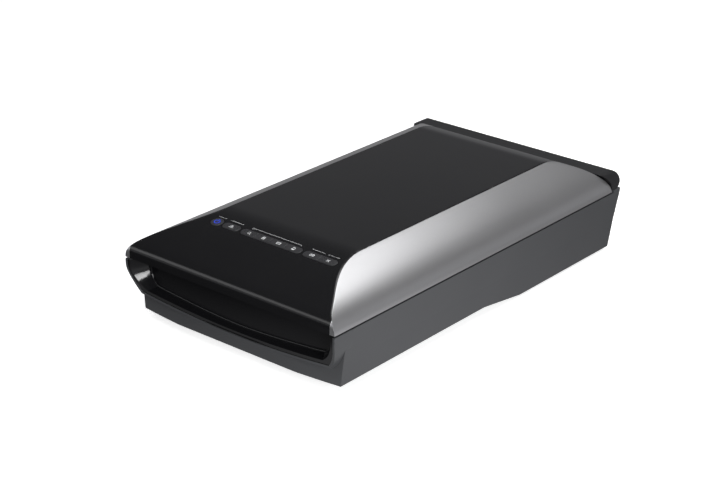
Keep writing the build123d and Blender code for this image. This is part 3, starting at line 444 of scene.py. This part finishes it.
def on_slope(points):
    """Points (x, up the slope, out of it) in the key row's plane, put in the scanner's frame."""
    across, along, out = np.moveaxis(np.asarray(points, float), -1, 0)
    y = ROW_Y + along * math.cos(SLOPE) - out * math.sin(SLOPE)
    z = ROW_Z + along * math.sin(SLOPE) + out * math.cos(SLOPE)
    return np.stack([across, y, z], -1)


def bar_outline(low, high, tall, corner, steps=8):
    """A rounded bar: a quarter turn of radius corner about each corner's centre."""
    turn = np.linspace(0, math.pi / 2, steps + 1)
    arc = np.stack([np.cos(turn), np.sin(turn)], -1) * corner
    quarters = []
    for quarter, (cx, cy) in enumerate([(high - corner, tall / 2 - corner), (low + corner, tall / 2 - corner),
                                        (low + corner, corner - tall / 2), (high - corner, corner - tall / 2)]):
        c, s = round(math.cos(quarter * math.pi / 2)), round(math.sin(quarter * math.pi / 2))
        quarters.append(arc @ np.array([[c, s], [-s, c]]) + (cx, cy))
    return np.vstack(quarters)


def prism(name, outline, low, high, material, place=on_slope):
    """The outline swept from low to high along the plane's normal, with both ends closed."""
    count = len(outline)
    rings = np.stack([np.column_stack([outline, np.full(count, h)]) for h in (low, high)])
    points = place(rings).reshape(-1, 3)
    walls = [[i, (i + 1) % count, count + (i + 1) % count, count + i] for i in range(count)]
    mesh = bpy.data.meshes.new(name)
    mesh.from_pydata(points * MM, [], [list(range(count))[::-1], list(range(count, 2 * count)), *walls])
    mesh.materials.append(material)
    piece = bpy.data.objects.new(name, mesh)
    bpy.context.scene.collection.objects.link(piece)
    return piece


def lid_height(x, y):
    """Height of the lid's outer skin behind the upright part of the chin."""
    return lower_of(np.interp(y, depth[CHIN_STEPS:], rise[CHIN_STEPS:]), flank_height(x))


POWER_X, POWER_RADIUS = -70, 6.6
BARS = ((-61, -40.5), (-37, 39.5), (43, 83))
openings = [bar_outline(low - GAP, high + GAP, KEY_DEPTH + 2 * GAP, KEY_ROUND + GAP) for low, high in BARS]
turn = np.linspace(0, 2 * math.pi, 49)[:-1]
openings.append(np.stack([np.cos(turn), np.sin(turn)], -1) * (POWER_RADIUS + GAP) + (POWER_X, 0))
cutters = [prism("cutter", outline, -7, 7, gloss_black) for outline in openings]
for cutter in cutters:
    cut = panel.modifiers.new("opening", "BOOLEAN")
    cut.object, cut.operation, cut.solver = cutter, "DIFFERENCE", "EXACT"
apply_modifiers(panel)
for cutter in cutters:
    bpy.data.objects.remove(cutter)
panel.data.set_sharp_from_angle(angle=SHARP)
print("corners shaded from the formula", skin_normals(panel, lid_height), "of", len(panel.data.loops))
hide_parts("lid_top")
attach(panel, "lid")

# %% [markdown]
# ## The silver flanks
# Each flank starts at the panel's edge and runs out and down to the lower edge. Its columns follow the flank
# curve from the crease outwards, so the grid bends with the moulding and needs few points.

# %% Make the silver flanks


def flank_grid():
    """Rows follow the profile; columns run from the crease to the lower edge, even in the curve's own length."""
    length = np.concatenate([[0], np.cumsum(np.hypot(*np.diff(flank, axis=0).T))])
    start = np.interp(crease + SEAM, flank[:, 0], length)
    share = np.linspace(0, 1, 97)
    along = start[:, None] + (length[-1] - start)[:, None] * share[None]
    x = np.interp(along, length, flank[:, 0])
    z = lower_of(np.repeat(rise[:, None], len(share), 1), np.interp(along, length, flank[:, 1]))
    y = np.repeat(depth[:, None], len(share), 1)
    return np.stack([x, y, np.maximum(z, LID_LOW)], -1)


for side, sign in (("right", 1), ("left", -1)):
    points = flank_grid()
    points[..., 0] *= sign
    piece = grid_piece(f"lid_flank_{side}", points if sign > 0 else points[:, ::-1], silver_paint)
    weld(piece)
    give_wall(piece, LID_WALL)
    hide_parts(f"lid_side_{side}")
    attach(piece, "lid")
    print(piece.name, len(piece.data.polygons), "faces")

# %% [markdown]
# ## The bead of the grip
# Where the scoop's floor meets its back wall, the real moulding has a rounded ridge that catches the light. It is
# a small round section carried along the scoop's outline. A frame of two directions, one towards the front and one
# square to the path, turns with the path, so the section never twists.

# %% Sweep the bead


def smooth_path(points, steps=20):
    """Catmull-Rom: between b and c, 0.5 (2b + (c-a)t + (2a-5b+4c-d)t^2 + (3b-a-3c+d)t^3), with the ends repeated."""
    points = np.array(points, float)
    points = np.vstack([2 * points[0] - points[1], points, 2 * points[-1] - points[-2]])
    t = np.linspace(0, 1, steps, endpoint=False)[:, None]
    runs = [0.5 * (2 * b + (c - a) * t + (2 * a - 5 * b + 4 * c - d) * t**2 + (3 * b - a - 3 * c + d) * t**3)
            for a, b, c, d in zip(points, points[1:], points[2:], points[3:])]
    return np.vstack(runs + [points[-2:-1]])


def bead(name, points, radius, material):
    """A round section of the radius along a path in a plane of constant y, closed at both ends by a point."""
    line = smooth_path(points)
    along = np.gradient(line, axis=0)
    along /= np.linalg.norm(along, axis=1, keepdims=True)
    front = np.tile([0.0, -1.0, 0.0], (len(line), 1))
    aside = np.cross(along, front)
    turn = np.linspace(0, 2 * math.pi, 17)
    size = np.full(len(line), radius)
    size[[0, -1]] = 0
    ring = np.cos(turn)[None, :, None] * front[:, None] + np.sin(turn)[None, :, None] * aside[:, None]
    piece = grid_piece(name, line[:, None] + ring * size[:, None, None], material)
    weld(piece)
    work = bmesh.new()
    work.from_mesh(piece.data)
    bmesh.ops.recalc_face_normals(work, faces=work.faces)
    work.to_mesh(piece.data)
    work.free()
    return piece


RIDGE_Y, RIDGE_RADIUS = -221.5, 1.3
HALF_SCOOP = [(119.6, 68), (118.9, 60), (117.2, 52), (113.6, 46.2), (107.5, 42.3), (80, 39.4), (40, 36.2)]
WHOLE_SCOOP = HALF_SCOOP + [(0, 34.8)] + [(-x, z) for x, z in HALF_SCOOP[::-1]]
ridge = bead("grip_bead", [(x, RIDGE_Y, z) for x, z in WHOLE_SCOOP], RIDGE_RADIUS, grip_gloss)
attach(ridge, "base")
print("bead faces", len(ridge.data.polygons))

# %% [markdown]
# ## Symbols on the keys
# Each key carries one small generic symbol in white ink, a tenth of a millimetre thick, which moves with its key.
# A symbol is a set of strokes: each is a flat bar between two points in the plane of the keys.

# %% Draw the symbols


def stroke(a, b, wide=0.6):
    """Outline of a bar of the given width from a to b, with square ends."""
    a, b = np.array(a, float), np.array(b, float)
    along = (b - a) / np.linalg.norm(b - a) * wide / 2
    aside = np.array([-along[1], along[0]])
    return np.array([a - along - aside, b + along - aside, b + along + aside, a - along + aside])


def path(points, wide=0.6):
    """Strokes between neighbouring points."""
    return [stroke(a, b, wide) for a, b in zip(points, points[1:])]


def arc_points(radius, start, end, steps=14):
    """Points on a circle about the middle, from one angle in degrees to the other."""
    turn = np.radians(np.linspace(start, end, steps + 1))
    return np.stack([radius * np.cos(turn), radius * np.sin(turn)], -1)


def printed(name, outlines, middle, height, body, material):
    """Several flat outlines about a middle as one thin inlay that rides on a body."""
    parts = [prism(name, outline + np.array(middle), height - 0.06, height + 0.05, material) for outline in outlines]
    work = bmesh.new()
    for part in parts:
        work.from_mesh(part.data)
    mesh = parts[0].data
    work.to_mesh(mesh)
    work.free()
    for part in parts[1:]:
        bpy.data.objects.remove(part)
    piece = parts[0]
    piece.name = name
    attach(piece, body)
    return piece


def box_path(half_width, half_height):
    """Strokes around a rectangle about the middle."""
    w, h = half_width, half_height
    return path([(-w, -h), (-w, h), (w, h), (w, -h), (-w, -h)])


SHEET = [(-1.4, -1.9), (-1.4, 1.9), (0.6, 1.9), (1.4, 1.1), (1.4, -1.9), (-1.4, -1.9)]
page, lens_ring = path(SHEET), path(arc_points(1.5, 0, 360))
SYMBOLS = {
    "auto_scan": (-50.75, path([(-2.4, -1.2), (2.4, -1.2)]) + path([(-1.6, 0.2), (0, 2), (1.6, 0.2)])
                  + path([(0, 2), (0, -0.6)])),
    "preview": (-27.3, lens_ring + path([(1.1, -1.1), (2.3, -2.3)])),
    "copy": (-8.3, page + path([(-0.7, 0.6), (0.7, 0.6)]) + path([(-0.7, -0.5), (0.7, -0.5)])),
    "mail": (10.8, box_path(2.2, 1.5) + path([(-2.2, 1.5), (0, -0.2), (2.2, 1.5)])),
    "save": (29.9, page + path([(-0.8, -1.2), (0.8, -1.2)], 0.9)),
    "film": (53.0, box_path(2.3, 1.4) + path([(-0.8, -1.4), (-0.8, 1.4)]) + path([(0.8, -1.4), (0.8, 1.4)])),
    "cancel": (73.0, path([(-1.4, -1.4), (1.4, 1.4)]) + path([(-1.4, 1.4), (1.4, -1.4)])),
}
KEY_FACE = 0.5
for name, (x, outlines) in SYMBOLS.items():
    mark = printed(f"symbol_{name}", outlines, (x, 0), KEY_FACE, f"{name}_button", ink)
power = path(arc_points(2.9, 125, 415, 22), 0.7) + path([(0, 1.0), (0, 3.9)], 0.7)
mark = printed("symbol_power", power, (POWER_X, 0), KEY_FACE, "power_button", glow_blue)
print("symbols", len(SYMBOLS) + 1)

# %% [markdown]
# ## Printed ticks behind the keys
# Behind the keys run fine printed lines that bracket each group. They are inlays too, and ride on the lid.

# %% Print the brackets
BRACKETS = [(-76, -66, 0), (-59, -43, 0), (-30, 32, 1), (46, 62, 0), (66, 80, 0)]
LINE_Y, DROP_Y, LINE_WIDTH = 9.2, 7.6, 0.28
lines = []
for low, high, drops in BRACKETS:
    lines += path([(low, LINE_Y), (high, LINE_Y)], LINE_WIDTH)
    if drops:
        lines += path([(low, LINE_Y), (low, DROP_Y)], LINE_WIDTH) + path([(high, LINE_Y), (high, DROP_Y)], LINE_WIDTH)
mark = printed("printed_brackets", lines, (0, 0), 0.06, "lid", ink)
print("bracket strokes", len(lines))

# %% [markdown]
# ## The studio
# A pale floor runs out of view on all sides. Large soft lamps stand above and to the right, and the sky behind
# the object stays dim, so that the black top mirrors a dark room while the flank mirrors the lamps. The camera
# sees the floor as it is. Reflections and bounced light see a floor with painted shade: dark near the front left
# corner, and dimmer to the rear.

# %% Floor and lamps
FLOOR_HALF, FLOOR_Z = 14, -0.0002
floor_corners = [(x * FLOOR_HALF, y * FLOOR_HALF, FLOOR_Z) for x, y in ((-1, -1), (1, -1), (1, 1), (-1, 1))]
mesh = bpy.data.meshes.new("studio_floor")
mesh.from_pydata(floor_corners, [], [(0, 1, 2, 3)])
floor = bpy.data.objects.new("studio_floor", mesh)
bpy.context.scene.collection.objects.link(floor)
pale = Finish("pale_floor", Base_Color=(0.9, 0.9, 0.9, 1), Roughness=0.8, Specular_IOR_Level=0.1,
              Emission_Color=(1, 1, 1, 1), Emission_Strength=0.7)
# Painted shade for reflections and bounced light: the floor is dark within 0.30 m of a point by the front left corner,
# full at 0.58 m, and dims to the rear.
away = pale.node("ShaderNodeVectorMath", {"operation": "DISTANCE"}, {0: pale.place, 1: (-0.15, -0.62, 0)}, "Value")
bright = pale.node("ShaderNodeMapRange", {}, {"Value": away, "From Min": 0.30, "From Max": 0.58})
depth_there = pale.node("ShaderNodeSeparateXYZ", {}, {0: pale.place}, "Y")
dim = pale.node("ShaderNodeMapRange", {}, {"Value": depth_there, "From Min": -0.25, "From Max": 0.30,
                                           "To Min": 1.15, "To Max": 0.35})
lit = pale.node("ShaderNodeEmission", {}, {"Color": (0.9, 0.9, 0.92, 1), "Strength": bright * dim * 0.6 + 0.02})
seen = pale.node("ShaderNodeLightPath", {}, {}, "Is Camera Ray")
both = pale.node("ShaderNodeMixShader", {}, {0: seen, 1: lit, 2: Value(pale, pale.shader.outputs[0])})
surface = next(n for n in pale.nodes if n.type == "OUTPUT_MATERIAL").inputs["Surface"]
pale.join(surface, both)
mesh.materials.append(pale.material)


def soft_lamp(name, place, aim, size, power):
    """A rectangular lamp at a place that faces a point."""
    lamp = bpy.data.lights.new(name, "AREA")
    lamp.shape, lamp.size, lamp.size_y, lamp.energy = "RECTANGLE", *size, power
    thing = bpy.data.objects.new(name, lamp)
    bpy.context.scene.collection.objects.link(thing)
    thing.location = place
    thing.rotation_euler = (Vector(aim) - Vector(place)).to_track_quat("-Z", "Y").to_euler()
    return thing


soft_lamp("overhead", (0.25, 0.25, 1.15), (0.2, 0.2, 0), (1.5, 0.7), 10.5)
soft_lamp("right", (1.6, -1.0, 0.55), (0.1, -0.15, 0.05), (0.8, 0.6), 26)
soft_lamp("front_high", (0.2, -1.6, 2.4), (0, 0, 0.05), (1.2, 0.8), 10)
soft_lamp("front_left", (-1.25, -1.75, 0.62), (0, -0.2, 0.05), (0.9, 0.6), 2.6)
world = bpy.data.worlds.new("studio")
world.use_nodes = True
sky, wires = world.node_tree.nodes, world.node_tree.links
kinds = ("ShaderNodeTexCoord", "ShaderNodeSeparateXYZ", "ShaderNodeMapRange")
compass, split_up, fade = (sky.new(kind) for kind in kinds)
wires.new(compass.outputs["Generated"], split_up.inputs[0])
wires.new(split_up.outputs["Z"], fade.inputs["Value"])
for name, value in (("From Min", 0.30), ("From Max", 0.52), ("To Min", 0.25), ("To Max", 0.07)):
    fade.inputs[name].default_value = value
wires.new(fade.outputs["Result"], sky["Background"].inputs["Strength"])
sky["Background"].inputs["Color"].default_value = (0.97, 0.97, 1, 1)
bpy.context.scene.world = world
bpy.context.scene.view_settings.view_transform = "Standard"
